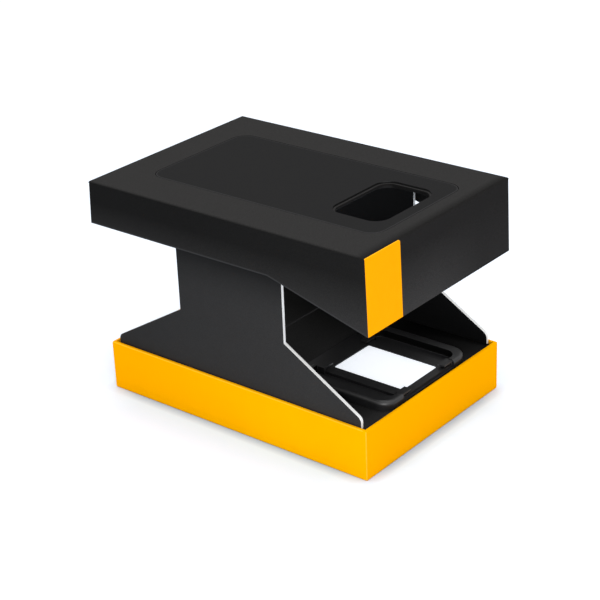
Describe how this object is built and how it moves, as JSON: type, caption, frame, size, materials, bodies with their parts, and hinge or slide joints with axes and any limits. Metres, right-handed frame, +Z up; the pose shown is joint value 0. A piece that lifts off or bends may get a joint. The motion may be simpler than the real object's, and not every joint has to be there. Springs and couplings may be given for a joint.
{
  "type": "film negative scanner",
  "caption": "Folding board stand for copying film: a lit film tray in a shallow base, two side panels, and a platform above that holds a camera over the window.",
  "frame": {"origin": "middle of the underside of the base tray, on the surface that it stands on", "axes": "+Z up, Y along the length with the front (the deep wall of the platform and the mouth of the film tray) towards -Y, X across the width"},
  "size_m": [0.1048, 0.1542, 0.1034],
  "materials": {
    "yellow_board": "printed, satin",
    "black_board": "printed, matt laminate, pale cut edges",
    "black_plastic": "fine satin moulding",
    "grey_plastic": "fine satin moulding",
    "white_plastic": "matt white moulding",
    "milky_plastic": "opal, lets light through",
    "soft_pad": "soft, fine grain",
    "circuit_board": "green solder mask",
    "lamp": "small square lamp with a phosphor face",
    "steel": "plated spring steel",
    "cell_jacket": "plain printed sleeve",
    "lead_red": "soft insulation",
    "lead_black": "soft insulation"
  },
  "bodies": {
    "base": {"base_tray": "yellow_board", "front_deck": "black_board", "rear_deck": "black_board", "left_riser": "black_board", "right_riser": "black_board", "film_tray": "black_plastic", "switch_body": "black_plastic", "battery_bay": "grey_plastic", "switch_bezel": "grey_plastic", "light_box": "white_plastic", "reflector": "white_plastic", "diffuser_plate": "milky_plastic", "lamp_board": "circuit_board", "lamp_1": "lamp", "lamp_2": "lamp", "lamp_3": "lamp", "lamp_4": "lamp", "lamp_5": "lamp", "lamp_6": "lamp", "series_contact": "steel", "positive_contact": "steel", "negative_contact": "steel", "front_spring": "steel", "rear_spring": "steel", "front_cell": "cell_jacket", "rear_cell": "cell_jacket", "supply_lead_red": "lead_red", "lamp_lead_red": "lead_red", "supply_lead_black": "lead_black", "lamp_lead_black": "lead_black"},
    "left_flap": {"left_side_panel": "black_board"},
    "right_flap": {"right_side_panel": "black_board"},
    "platform": {"platform_lid": "black_board", "left_liner": "black_board", "right_liner": "black_board", "front_left_tab": "black_board", "front_right_tab": "black_board", "rear_left_tab": "black_board", "rear_right_tab": "black_board", "roof_stiffener": "black_board", "grip_pad": "soft_pad"},
    "switch_knob": {"power_switch": "black_plastic"},
    "battery_cover": {"battery_door": "black_plastic"}
  },
  "joints": [
    {"name": "left_panel_fold", "type": "hinge", "parent": "base", "child": "left_flap", "pos_m": [-0.04748, 0, 0.02332], "axis": [0, 1, 0], "range_deg": [0, 74]},
    {"name": "right_panel_fold", "type": "hinge", "parent": "base", "child": "right_flap", "pos_m": [0.04748, 0, 0.02332], "axis": [0, 1, 0], "range_deg": [-38, 0]},
    {"name": "platform_lift", "type": "slide", "parent": "base", "child": "platform", "axis": [0, 0, 1], "range_m": [0, 0.04]},
    {"name": "power_slide", "type": "slide", "parent": "base", "child": "switch_knob", "axis": [1, 0, 0], "range_m": [0, 0.004]},
    {"name": "battery_door_hinge", "type": "hinge", "parent": "base", "child": "battery_cover", "pos_m": [0, 0.02435, 0.0009], "axis": [1, 0, 0], "range_deg": [0, 88]}
  ]
}
